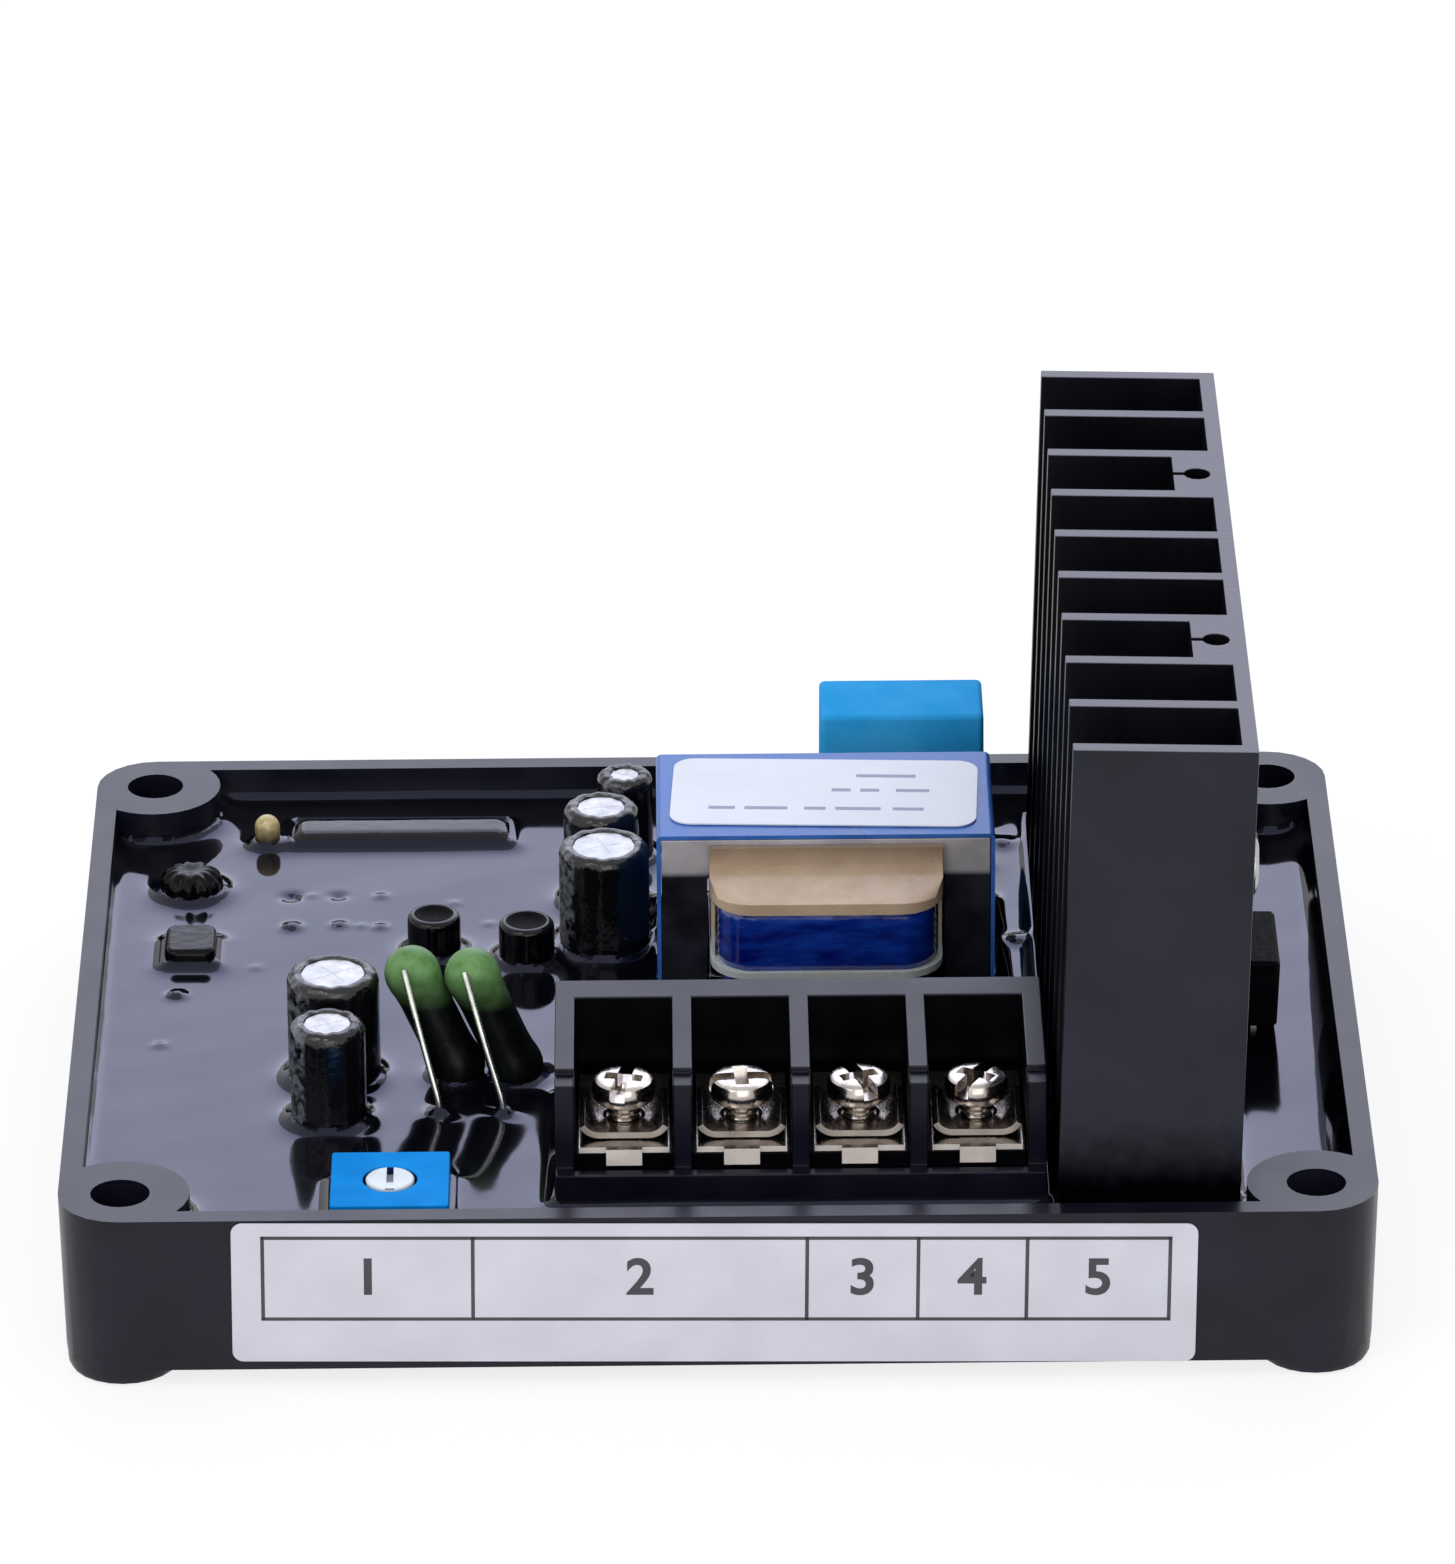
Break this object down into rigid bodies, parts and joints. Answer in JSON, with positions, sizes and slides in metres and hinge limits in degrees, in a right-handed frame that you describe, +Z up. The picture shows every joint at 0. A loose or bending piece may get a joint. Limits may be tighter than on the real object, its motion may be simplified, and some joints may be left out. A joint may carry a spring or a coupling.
{
  "type": "automatic voltage regulator",
  "caption": "Potted circuit in an open black tray, with a tall finned heatsink, a transformer, a trimmer and a barrier terminal block; it holds a generator's voltage.",
  "frame": {"origin": "centre of the tray's outline, at the underside of its feet", "axes": "+X along the tray's long side, towards the heatsink; +Y away from the terminals, towards the tray's back; +Z up"},
  "size_m": [0.106, 0.0862, 0.0543],
  "materials": {
    "black_plastic": "black moulded plastic, satin",
    "resin": "glossy black potting resin",
    "fibre_board": "glass-fibre circuit board",
    "anodised": "black anodised extrusion",
    "steel": "plated steel",
    "nickel": "bright nickel plate",
    "package_black": "moulded epoxy",
    "trimmer_blue": "satin blue plastic",
    "rotor_white": "white plastic",
    "core_steel": "varnished laminations",
    "bobbin_cream": "cream moulded plastic",
    "winding_blue": "enamelled copper wire under dark blue varnish",
    "tape_blue": "blue polyester tape",
    "label_white": "white polyester label",
    "box_blue": "satin blue plastic",
    "can_aluminium": "bright aluminium can",
    "sleeve_black": "black shrunk sleeve",
    "green_enamel": "green resistor enamel",
    "tinned": "tinned wire",
    "coated": "glossy, under a skin of potting resin",
    "tan_enamel": "tan resistor lacquer"
  },
  "bodies": {
    "regulator": {"case": "black_plastic", "circuit_board": "fibre_board", "potting": "resin", "heatsink": "anodised", "heatsink_screw_front": "steel", "heatsink_screw_rear": "steel", "power_transistor": "package_black", "power_transistor_screw": "steel", "terminal_housing": "black_plastic", "contact_plate_1": "nickel", "contact_plate_2": "nickel", "contact_plate_3": "nickel", "contact_plate_4": "nickel", "trimmer_body": "trimmer_blue", "transformer_core": "core_steel", "transformer_bobbin": "bobbin_cream", "transformer_winding_upper": "winding_blue", "transformer_winding_lower": "winding_blue", "transformer_tape": "tape_blue", "transformer_label": "label_white", "box_capacitor": "box_blue", "capacitor_front_can": "can_aluminium", "capacitor_front_sleeve": "sleeve_black", "capacitor_second_can": "can_aluminium", "capacitor_second_sleeve": "sleeve_black", "capacitor_tall_can": "can_aluminium", "capacitor_tall_sleeve": "sleeve_black", "capacitor_middle_can": "can_aluminium", "capacitor_middle_sleeve": "sleeve_black", "capacitor_rear_can": "can_aluminium", "capacitor_rear_sleeve": "sleeve_black", "small_capacitor_1": "sleeve_black", "small_capacitor_2": "sleeve_black", "wirewound_resistor_1": "green_enamel", "wirewound_resistor_1_lead": "tinned", "wirewound_resistor_2": "green_enamel", "wirewound_resistor_2_lead": "tinned", "ceramic_resistor": "coated", "coated_film_capacitor": "coated", "coated_choke": "coated", "upright_resistor": "tan_enamel", "rating_label": "label_white"},
    "trimmer": {"trimmer_rotor": "rotor_white"},
    "washer_1": {"clamp_washer_1": "nickel"},
    "washer_2": {"clamp_washer_2": "nickel"},
    "washer_3": {"clamp_washer_3": "nickel"},
    "washer_4": {"clamp_washer_4": "nickel"},
    "screw_1": {"terminal_screw_1": "nickel"},
    "screw_2": {"terminal_screw_2": "nickel"},
    "screw_3": {"terminal_screw_3": "nickel"},
    "screw_4": {"terminal_screw_4": "nickel"}
  },
  "joints": [
    {"name": "trimmer_turn", "type": "hinge", "parent": "regulator", "child": "trimmer", "pos_m": [-0.0264, -0.03531, 0.0149], "axis": [0, 0, 1], "range_deg": [-140, 140]},
    {"name": "terminal_1_lift", "type": "slide", "parent": "regulator", "child": "washer_1", "axis": [0, 0, 1], "range_m": [0, 0.002]},
    {"name": "terminal_2_lift", "type": "slide", "parent": "regulator", "child": "washer_2", "axis": [0, 0, 1], "range_m": [0, 0.002]},
    {"name": "terminal_3_lift", "type": "slide", "parent": "regulator", "child": "washer_3", "axis": [0, 0, 1], "range_m": [0, 0.002]},
    {"name": "terminal_4_lift", "type": "slide", "parent": "regulator", "child": "washer_4", "axis": [0, 0, 1], "range_m": [0, 0.002]},
    {"name": "terminal_1_turn", "type": "hinge", "parent": "washer_1", "child": "screw_1", "pos_m": [-0.00755, -0.0286, 0.0205], "axis": [0, 0, 1], "range_deg": [0, 1440]},
    {"name": "terminal_2_turn", "type": "hinge", "parent": "washer_2", "child": "screw_2", "pos_m": [0.00195, -0.0286, 0.0205], "axis": [0, 0, 1], "range_deg": [0, 1440]},
    {"name": "terminal_3_turn", "type": "hinge", "parent": "washer_3", "child": "screw_3", "pos_m": [0.01145, -0.0286, 0.0205], "axis": [0, 0, 1], "range_deg": [0, 1440]},
    {"name": "terminal_4_turn", "type": "hinge", "parent": "washer_4", "child": "screw_4", "pos_m": [0.02095, -0.0286, 0.0205], "axis": [0, 0, 1], "range_deg": [0, 1440]}
  ],
  "couplings": [
    {"joint": "terminal_1_turn", "follows": "terminal_1_lift", "rad_per_m": 12566},
    {"joint": "terminal_2_turn", "follows": "terminal_2_lift", "rad_per_m": 12566},
    {"joint": "terminal_3_turn", "follows": "terminal_3_lift", "rad_per_m": 12566},
    {"joint": "terminal_4_turn", "follows": "terminal_4_lift", "rad_per_m": 12566}
  ]
}
